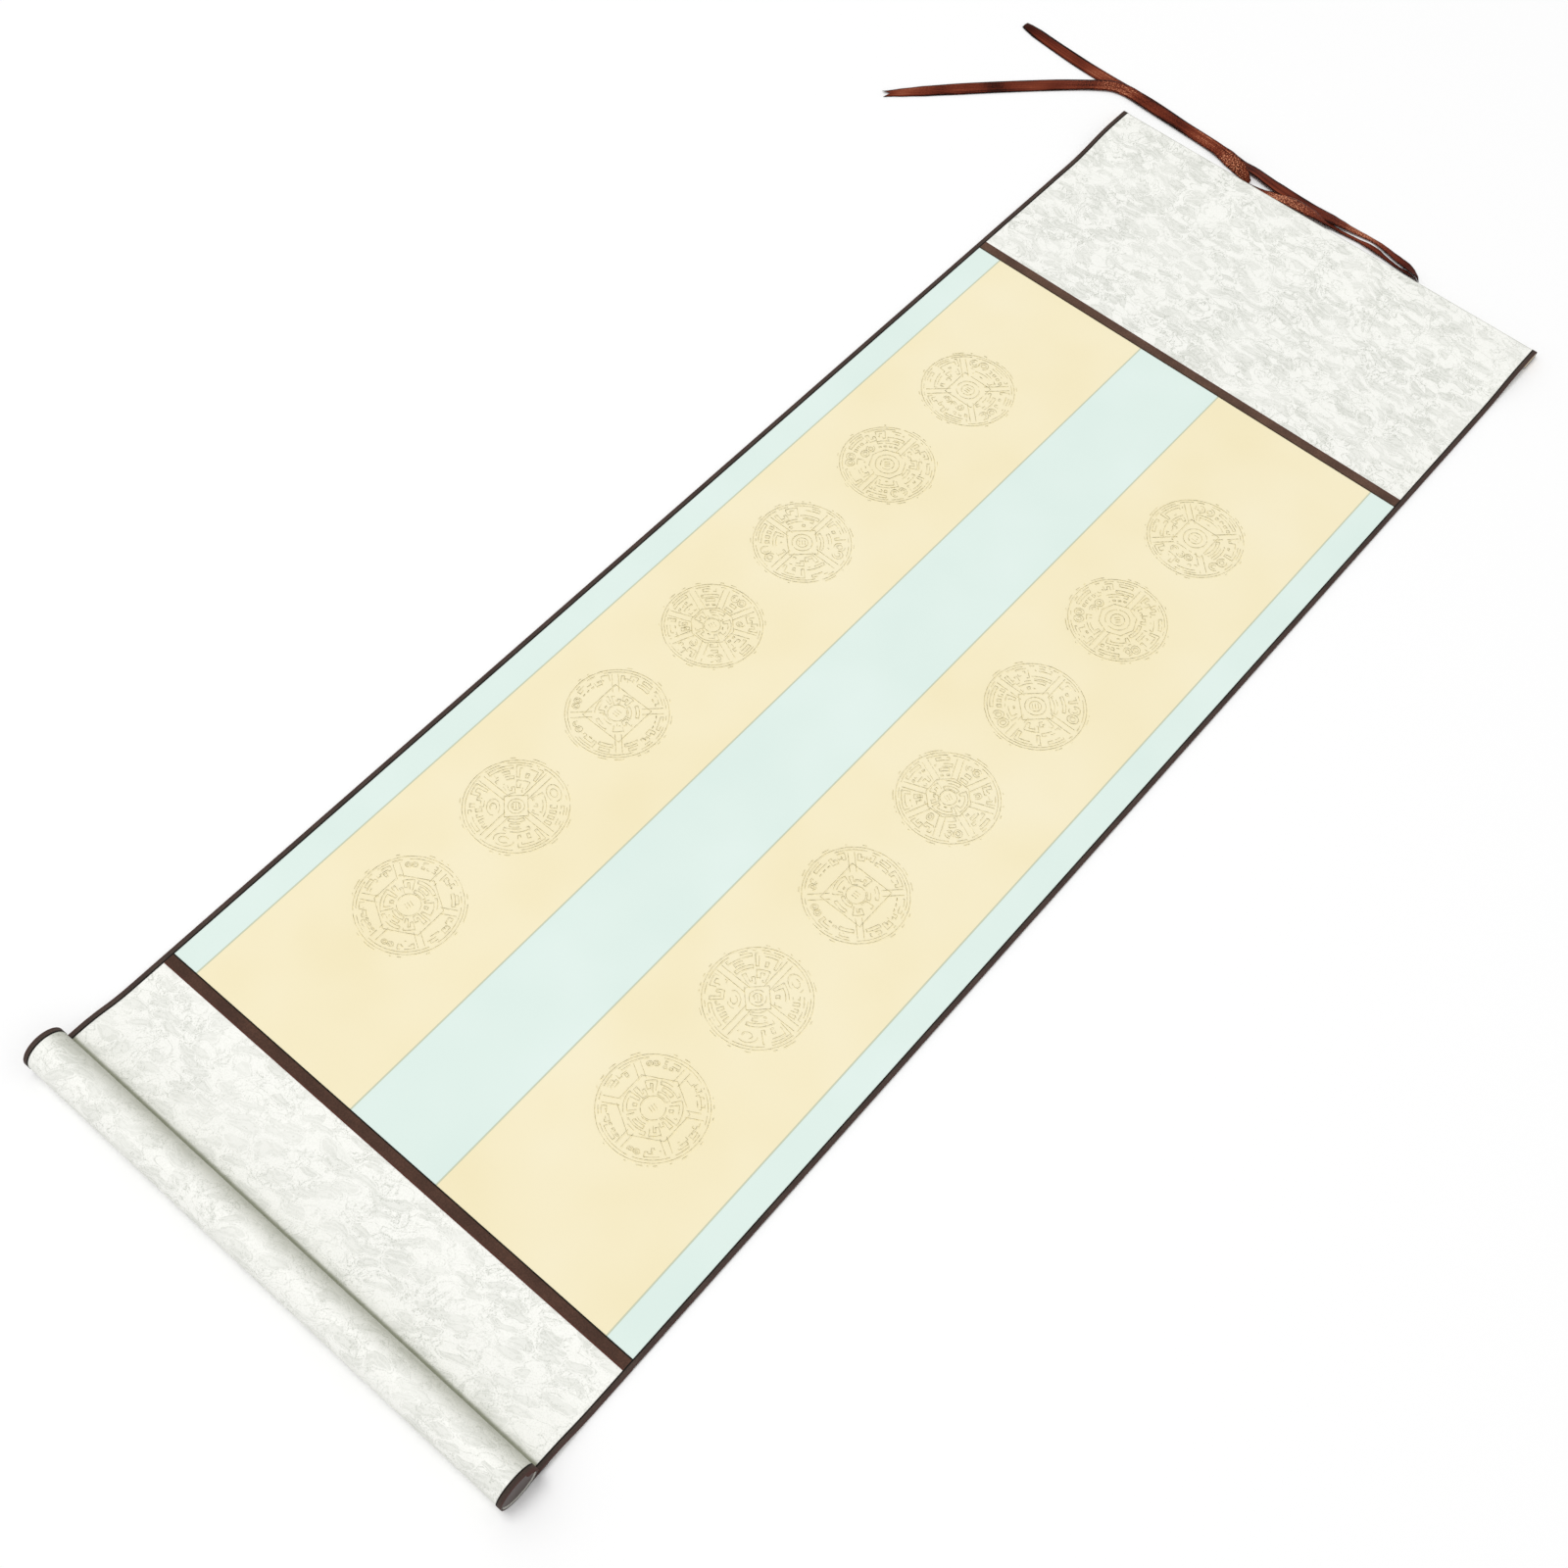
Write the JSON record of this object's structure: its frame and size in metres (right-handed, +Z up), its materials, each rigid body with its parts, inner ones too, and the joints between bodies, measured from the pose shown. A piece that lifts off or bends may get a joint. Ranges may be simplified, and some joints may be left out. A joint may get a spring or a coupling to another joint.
{
  "type": "hanging scroll",
  "caption": "Blank hanging scroll lying open: two cream writing papers with printed roundels, blue borders, pale brocade ends, dark edging, roller, stave and satin ribbon.",
  "frame": {"origin": "on the table, under the middle of the scroll's length and width, the ribbon left out", "axes": "+X across the scroll to its right edge, +Y along it from the roller to the head with the ribbon, +Z up, out of the written face"},
  "size_m": [0.4272, 0.9032, 0.022],
  "materials": {
    "backing_paper": "matte",
    "brocade": "satin",
    "edging": "satin",
    "blue_paper": "matte",
    "cream_paper": "matte",
    "print_ink": "matte",
    "stained_wood": "satin",
    "plain_wood": "matte",
    "steel_wire": "satin",
    "satin": "satin"
  },
  "bodies": {
    "root": {"backing_sheet": "backing_paper", "bottom_brocade_panel": "brocade", "top_brocade_panel": "brocade", "left_edging": "edging", "right_edging": "edging", "bottom_separator": "edging", "top_separator": "edging", "left_border": "blue_paper", "centre_border": "blue_paper", "right_border": "blue_paper", "left_writing_paper": "cream_paper", "right_writing_paper": "cream_paper", "left_roundels": "print_ink", "right_roundels": "print_ink", "roller_rod": "stained_wood", "top_stave": "plain_wood", "left_staple": "steel_wire", "right_staple": "steel_wire", "hanging_ribbon": "satin"}
  },
  "joints": []
}
